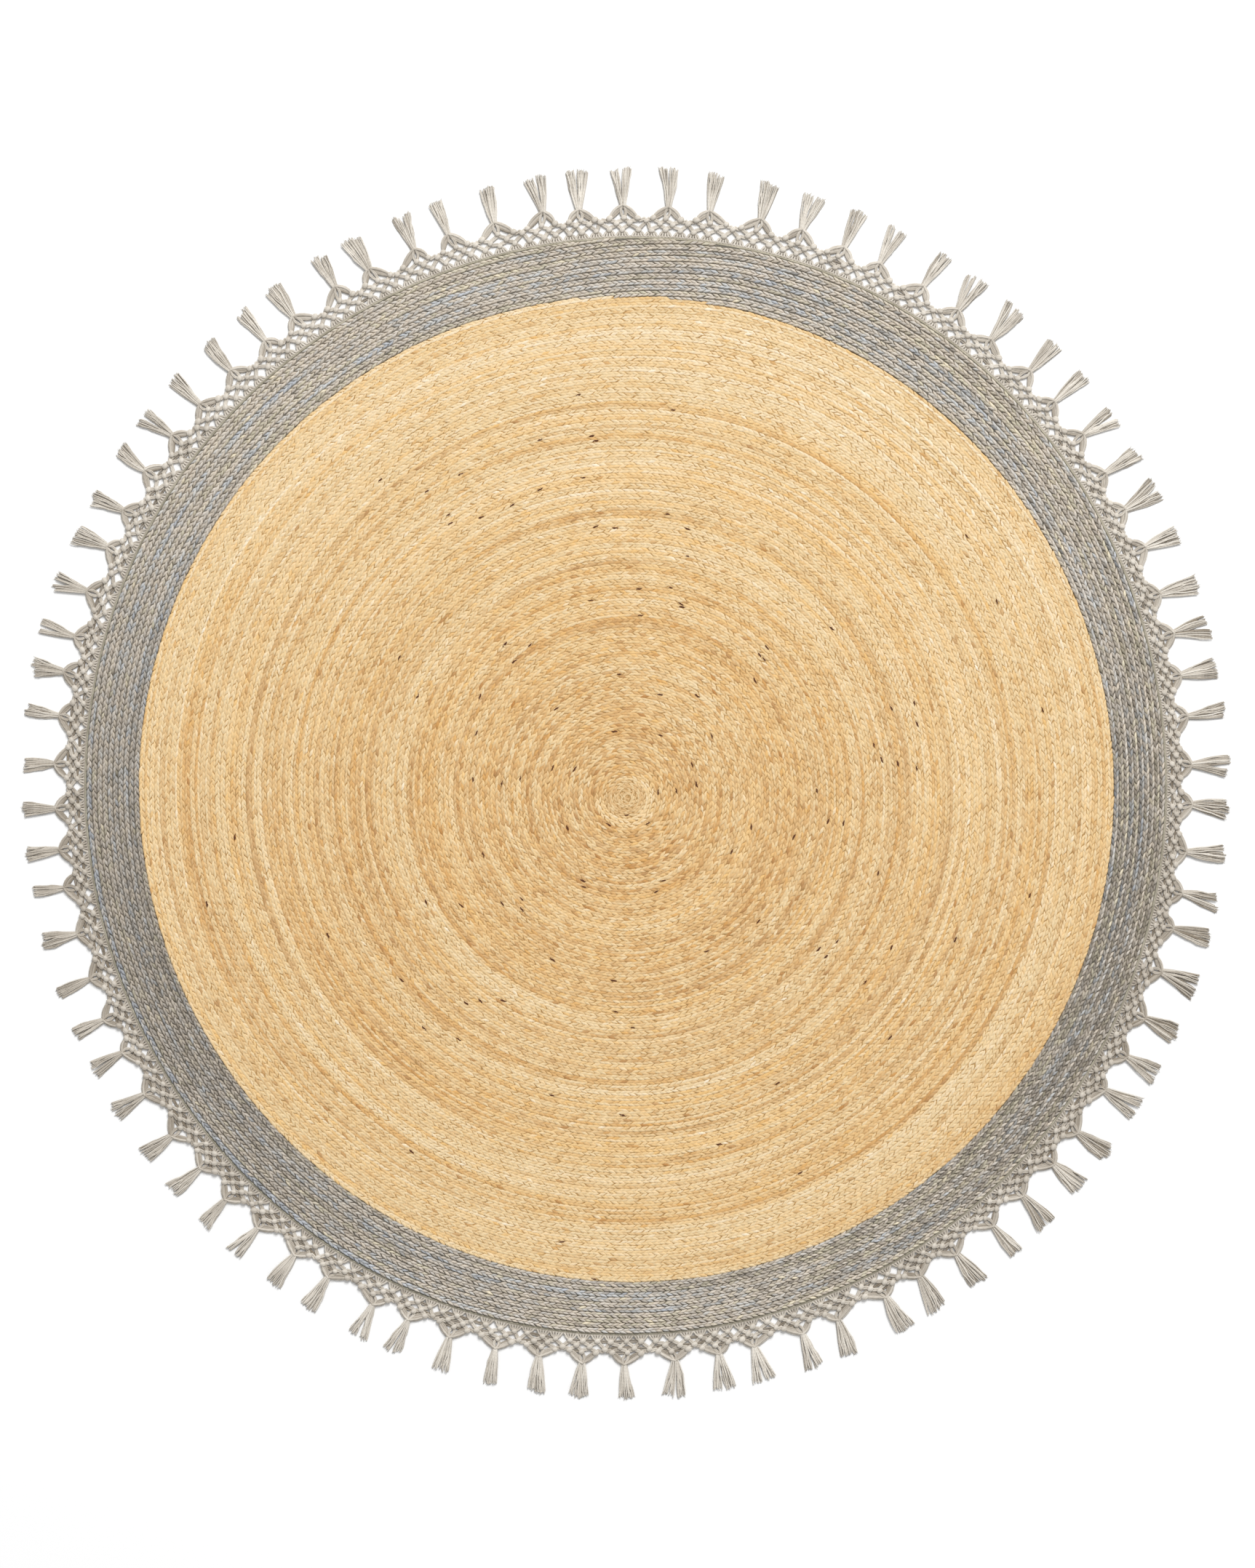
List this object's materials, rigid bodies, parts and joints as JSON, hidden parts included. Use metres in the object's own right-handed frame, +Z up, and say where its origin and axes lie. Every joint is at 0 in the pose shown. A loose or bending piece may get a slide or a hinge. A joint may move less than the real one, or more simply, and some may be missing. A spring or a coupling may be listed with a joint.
{
  "type": "round jute rug",
  "caption": "Round flat rug of braided jute: a straw-coloured coiled field, a grey braided border and a knotted cotton fringe with tassels all round.",
  "frame": {"origin": "Middle of the rug's bounding box on the floor: centre of its outline, on the underside.", "axes": "+Z up from the floor, out of the braided face. +Y to the top of the rug as seen in the picture, +X to its right."},
  "size_m": [1.384, 1.4116, 0.007],
  "materials": {
    "natural_jute": "dry braided jute, straw to tan",
    "grey_jute": "dry braided jute, mixed greys and taupes",
    "ribbed_tape": "matt ribbed cotton tape",
    "cotton_cord": "matt light cotton cord"
  },
  "bodies": {
    "root": {"natural_field": "natural_jute", "grey_border": "grey_jute", "heading_tape": "ribbed_tape", "knotted_fringe": "cotton_cord"}
  },
  "joints": []
}
